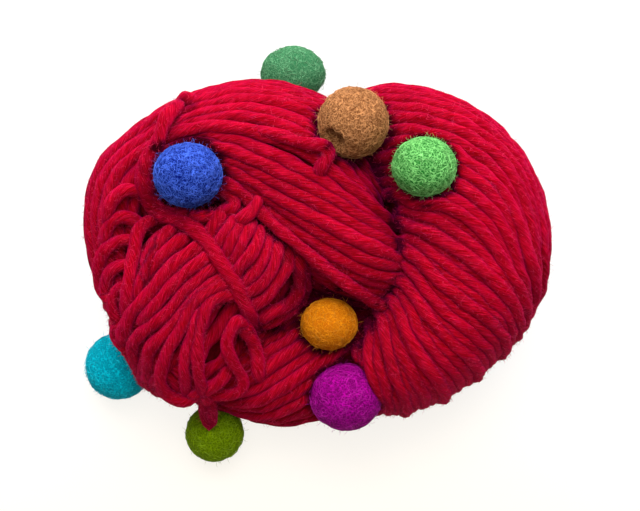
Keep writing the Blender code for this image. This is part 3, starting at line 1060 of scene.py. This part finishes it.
def felt_skin(name, fibre, body):
    """Felted wool: curled pale lines of fibre over the darker mat below."""
    material, tree, shader = new_material(
        name, Roughness=0.9, Specular_IOR_Level=0.04, Sheen_Weight=0.12, Sheen_Roughness=0.5,
        Sheen_Tint=(*fibre, 1.0),
    )
    link = tree.links.new
    where = object_place(tree)
    warp = add_node(tree, "ShaderNodeTexNoise", Scale=420.0, Detail=1.0)
    link(where, warp.inputs["Vector"])
    bent = add_node(tree, "ShaderNodeVectorMath", operation="MULTIPLY_ADD")
    link(warp.outputs["Color"], bent.inputs[0])
    bent.inputs[1].default_value = (0.0012, 0.0012, 0.0012)
    link(where, bent.inputs[2])
    mat = 0.0
    for number, layer in enumerate(FELT_LAYERS):
        moved = add_node(tree, "ShaderNodeVectorMath", operation="ADD")
        link(bent.outputs[0], moved.inputs[0])
        moved.inputs[1].default_value = (number * 0.37, number * 0.21, number * 0.53)
        field = noise_node(tree, moved.outputs[0], layer.scale, 0.0)
        off_line = value_node(tree, "ABSOLUTE", value_node(tree, "SUBTRACT", field, 0.5))
        line = value_node(tree, "DIVIDE", off_line, layer.width)
        line = value_node(tree, "SUBTRACT", 1.0, value_node(tree, "MINIMUM", line, 1.0))
        mat = value_node(tree, "MAXIMUM", line, mat)
    cloud = noise_node(tree, where, 190.0, 3.0)
    grain = noise_node(tree, where, 1500.0, 2.0)
    tint = value_node(tree, "MULTIPLY", mat, 0.38)
    tint = value_node(tree, "MULTIPLY_ADD", cloud, 0.18, tint)
    tint = value_node(tree, "MULTIPLY_ADD", grain, 0.35, tint)
    halfway = tuple(0.45 * pale + 0.55 * dark for pale, dark in zip(fibre, body))
    stops = ((0.22, body), (0.47, halfway), (0.70, fibre))
    link(colour_ramp(tree, tint, stops), shader.inputs["Base Color"])
    link(bump_node(tree, mat, 0.0003, 0.8), shader.inputs["Normal"])
    return material


def fibre_wool(name, colour):
    """Single fibres, a little darker towards some of their places."""
    material, tree, shader = new_material(name, Roughness=0.7, Specular_IOR_Level=0.2)
    cloud = noise_node(tree, object_place(tree), 500.0, 1.0)
    stops = ((0.3, tuple(value * 0.55 for value in colour)), (0.65, colour))
    tree.links.new(colour_ramp(tree, cloud, stops), shader.inputs["Base Color"])
    return material


def random_direction(rng):
    while True:
        trial = Vector([rng.uniform(-1.0, 1.0) for _ in range(3)])
        if 0.1 < trial.length < 1.0:
            return trial.normalized()


def curl_path(rng, centre, radius):
    """A fibre that wanders over a ball's skin in curls."""
    up = random_direction(rng)
    ahead = up.orthogonal().normalized()
    ahead.rotate(Quaternion(up, rng.uniform(0.0, math.tau)))
    bend = rng.uniform(-1.3, 1.3)
    step = rng.uniform(0.45, 0.95) * MM
    points = []
    for index in range(CURL_POINTS):
        height = radius + (0.16 - 0.035 * abs(index - 3.5) ** 1.4) * MM
        points.append(centre + up * height)
        up = (up * radius + ahead * step).normalized()
        ahead = (ahead - up * ahead.dot(up)).normalized()
        bend += rng.uniform(-0.5, 0.5)
        ahead.rotate(Quaternion(up, bend * 0.5))
    return points


def bent_path(point, ahead, bend, step, count):
    """Points along a hair that sets out ahead and bends the same way at each step."""
    points = []
    for _ in range(count):
        points.append(point.copy())
        point += ahead * step
        ahead = (ahead + bend).normalized()
    return points


def hair_path(rng, centre, radius):
    """A stray hair that stands off a ball's skin and bends over."""
    up = random_direction(rng)
    ahead = (up * rng.uniform(0.35, 1.0) + up.orthogonal().normalized() * rng.uniform(-1, 1)
             + random_direction(rng) * 0.5).normalized()
    bend = random_direction(rng) * 0.45 * 0.6
    step = rng.uniform(0.25, 0.6) * MM
    return bent_path(centre + up * (radius - 0.1 * MM), ahead, bend, step, HAIR_POINTS)


def add_fibres(shape, paths, radius):
    """Add thin tapered fibres along those paths that stay clear of the table."""
    paths = [path for path in paths if min(point.z for point in path) > TABLE_CLEAR]
    sizes = [1.0 - 0.7 * np.linspace(-1.0, 1.0, len(path)) ** 2 for path in paths]
    shape.from_mesh(bevelled_tubes("fibres", paths, sizes, radius, 0))


def ball_body(centre, radius, number):
    """A closed lumpy ball, flat where it would go below the table."""
    shape = bmesh.new()
    bmesh.ops.create_icosphere(shape, subdivisions=5, radius=radius)
    offset = Vector((3.7, 1.3, 2.9)) * number
    for vert in shape.verts:
        way = vert.co.normalized()
        lump = noise.noise(way * 1.6 + offset) * 0.035 + noise.noise(way * 9.0 + offset) * 0.012
        vert.co = centre + way * radius * (1.0 + lump)
        vert.co.z = max(vert.co.z, 0.0)
    return shape


def press_notch(shape, centre):
    """Press in the notch where the strand enters a ball."""
    for vert in shape.verts:
        reach = vert.co - centre
        inside = max(0.0, reach.normalized().dot(NOTCH_WAY) - NOTCH_SPREAD)
        press = min(1.0, 1.6 * inside / (1.0 - NOTCH_SPREAD))
        vert.co = centre + reach * (1.0 - NOTCH_DEPTH * press)


def clear_of_notch(path, centre):
    edge = NOTCH_SPREAD + 0.01
    return all((point - centre).normalized().dot(NOTCH_WAY) < edge for point in path)


def add_ball(felt, number):
    """A felt ball: a lumpy felted core with curled fibres on its skin and stray hairs."""
    rng = random.Random(number)
    low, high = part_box(felt.node)
    centre = (low + high) * 0.5
    radius = (high - low).z * 0.5 - 0.25 * MM
    shape = ball_body(centre, radius, number)
    body_faces = len(shape.faces)
    curls = [curl_path(rng, centre, radius) for _ in range(felt.curls)]
    hairs = [hair_path(rng, centre, radius) for _ in range(felt.hairs)]
    if felt.node == NOTCHED:
        press_notch(shape, centre)
        curls = [path for path in curls if clear_of_notch(path, centre)]
    add_fibres(shape, curls, CURL_RADIUS)
    add_fibres(shape, hairs, HAIR_RADIUS)
    shape.faces.ensure_lookup_table()
    for face in shape.faces[body_faces:]:
        face.material_index = 1
    bmesh.ops.remove_doubles(shape, verts=shape.verts, dist=1e-6)
    for vert in shape.verts:
        vert.co.x = centre.x + (vert.co.x - centre.x) * felt.wide
        vert.co.y = centre.y + (vert.co.y - centre.y) * felt.deep
    bmesh.ops.recalc_face_normals(shape, faces=shape.faces)
    name = felt.node.replace("felt_ball", "felted_ball")
    ball = add_mesh_object(name, shape, felt_skin(name + "_felt", felt.fibre, felt.body))
    ball.data.materials.append(fibre_wool(name + "_fibre", felt.fibre))
    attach(ball, "root")
    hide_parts(felt.node)


for number, felt in enumerate(FELTS):
    add_ball(felt, 31 + number)


# Painted shade: the wool's colour is darkened in the hank's hollows and down its sides, where other
# yarn or a ball hides it from above.
HOLLOW_REACH = 60.0 * MM
HOLLOW_LIFT = 4.0 * MM
HOLLOW_RAYS = [Vector((0.0, 0.0, 1.0))] + [
    Vector((math.sin(lean) * math.cos(turn), math.sin(lean) * math.sin(turn), math.cos(lean)))
    for lean, first in ((0.5, 0.0), (0.95, 0.8), (1.3, 0.4))
    for turn in (first, first + 1.57, first + 3.14, first + 4.71)
]


def hollow_at(place, cover):
    """The share of the sky that yarn and balls hide, just off the hank's skin at a place."""
    nearest, normal, _, _ = HANK_SKIN.find_nearest(place)
    start = nearest + normal * HOLLOW_LIFT
    hidden = [ray for ray in HOLLOW_RAYS if cover.ray_cast(start, ray, HOLLOW_REACH)[0]]
    return len(hidden) / len(HOLLOW_RAYS)


def shade_hollows(pieces):
    """Give each strand point the share of the sky that is hidden from it, for the wool's painted
    shade.
    """
    shape = bmesh.new()
    for node in ["hank"] + list(BALL_PLACES):
        shape.from_mesh(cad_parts[node].data)
    cover = BVHTree.FromBMesh(shape)
    shape.free()
    for piece in pieces:
        mesh = piece.data
        shades = [hollow_at(vert.co, cover) for vert in mesh.vertices]
        mesh.attributes.new("hollow_shade", "FLOAT", "POINT").data.foreach_set("value", shades)


YARN_PIECES = (middle_yarn, fan_yarn, front_yarn, loop_yarn, tie_yarn, knot_yarn)
shade_hollows(YARN_PIECES)


# Loose hairs lie over the yarn and stand off it everywhere, a few millimetres long and finer
# than the eye can part, so that the wool looks soft and its edge blurred.
FUZZ_COUNT = 10500
FUZZ_RADIUS = 0.045 * MM
FUZZ_POINTS = 4
FUZZ_LIFT = 0.02 * MM
FUZZ_LOWEST = 4.0 * MM
UPPER_SIDE = 22.0 * MM
DEEPEST_FUZZ = 1.4 * MM
LOW_SHARE = 0.3


def add_hair(shape, points, radius):
    """A three-sided hair that thins to a point."""
    rings = []
    for index, point in enumerate(points[:-1]):
        ahead = (points[index + 1] - point).normalized()
        side = ahead.orthogonal().normalized() * radius * (1.0 - 0.5 * index / len(points))
        corners = [point + Quaternion(ahead, math.tau * turn / 3) @ side for turn in range(3)]
        rings.append([shape.verts.new(corner) for corner in corners])
    tip = shape.verts.new(points[-1])
    shape.faces.new(reversed(rings[0]))
    for near, far in zip(rings, rings[1:]):
        offset = min(range(3), key=lambda shift: (far[shift].co - near[0].co).length)
        far[:] = far[offset:] + far[:offset]
        for turn in range(3):
            after = (turn + 1) % 3
            shape.faces.new((near[turn], near[after], far[after], far[turn]))
    for turn in range(3):
        shape.faces.new((rings[-1][turn], rings[-1][(turn + 1) % 3], tip))


def open_faces(pieces):
    """Middle, normal and share of the hairs for each strand face that shows."""
    faces = []
    for piece in pieces:
        for polygon in piece.data.polygons:
            place = polygon.center
            nearest, skin_normal, _, _ = HANK_SKIN.find_nearest(place)
            depth = (nearest - place).dot(skin_normal)
            if place.z > FUZZ_LOWEST and depth < DEEPEST_FUZZ:
                upper = place.z > UPPER_SIDE and polygon.normal.z > -0.1
                faces.append((place.copy(), polygon.normal.copy(), 1.0 if upper else LOW_SHARE))
    return faces


def add_fuzz(name, faces, material, seed):
    """Short bent hairs that start on the strands' outer faces."""
    rng = random.Random(seed)
    shape = bmesh.new()
    made = 0
    while made < FUZZ_COUNT:
        centre, normal, chance = faces[rng.randrange(len(faces))]
        if rng.random() > chance:
            continue
        ahead = (normal * rng.uniform(0.0, 0.7) + random_direction(rng) * 0.8).normalized()
        bend = random_direction(rng) * 0.4 - normal * 0.12
        step = rng.uniform(0.3, 0.75) * MM
        start = centre + normal * FUZZ_LIFT
        add_hair(shape, bent_path(start, ahead, bend, step, FUZZ_POINTS), FUZZ_RADIUS)
        made += 1
    seat_on_hank(add_mesh_object(name, shape, material))


FUZZ_FACES = open_faces(YARN_PIECES)
FUZZ_WOOL = fibre_wool("fuzz_wool", (0.72, 0.025, 0.10))
add_fuzz("yarn_fuzz_long", FUZZ_FACES, FUZZ_WOOL, 41)
add_fuzz("yarn_fuzz_short", FUZZ_FACES, FUZZ_WOOL, 42)
